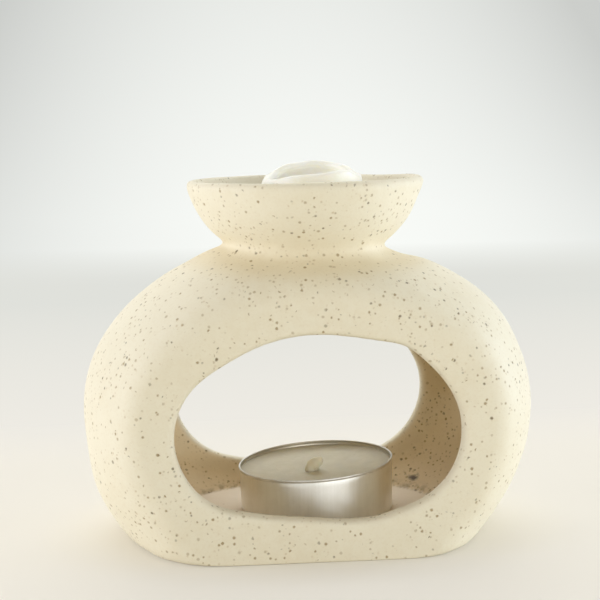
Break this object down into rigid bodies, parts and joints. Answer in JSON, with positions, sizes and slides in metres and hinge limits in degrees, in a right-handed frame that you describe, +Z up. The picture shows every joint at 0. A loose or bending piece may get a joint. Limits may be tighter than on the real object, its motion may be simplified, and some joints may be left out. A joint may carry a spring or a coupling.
{
  "type": "essential oil burner",
  "caption": "Oval speckled stoneware burner with a see-through window for a tealight and a flared bowl on top that warms a wax melt or oil.",
  "frame": {"origin": "on the table, under the middle of the base", "axes": "+Z up, front window facing -Y, +X to the right seen from the front"},
  "size_m": [0.108, 0.058, 0.0894],
  "materials": {
    "stoneware": "matte",
    "cup_foil": "satin",
    "candle_wax": "satin",
    "wick_cotton": "matte",
    "sustainer_tin": "satin",
    "melt_wax": "satin"
  },
  "bodies": {
    "burner": {"burner_body": "stoneware"},
    "tealight": {"tealight_cup": "cup_foil", "tealight_wax": "candle_wax", "wick": "wick_cotton", "wick_sustainer": "sustainer_tin"},
    "melt": {"wax_melt": "melt_wax"}
  },
  "joints": [
    {"name": "tealight_out", "type": "slide", "parent": "burner", "child": "tealight", "axis": [0, -0.8192, 0.5736], "range_m": [0, 0.075]},
    {"name": "melt_lift", "type": "slide", "parent": "burner", "child": "melt", "axis": [0, 0, 1], "range_m": [0, 0.03]}
  ]
}
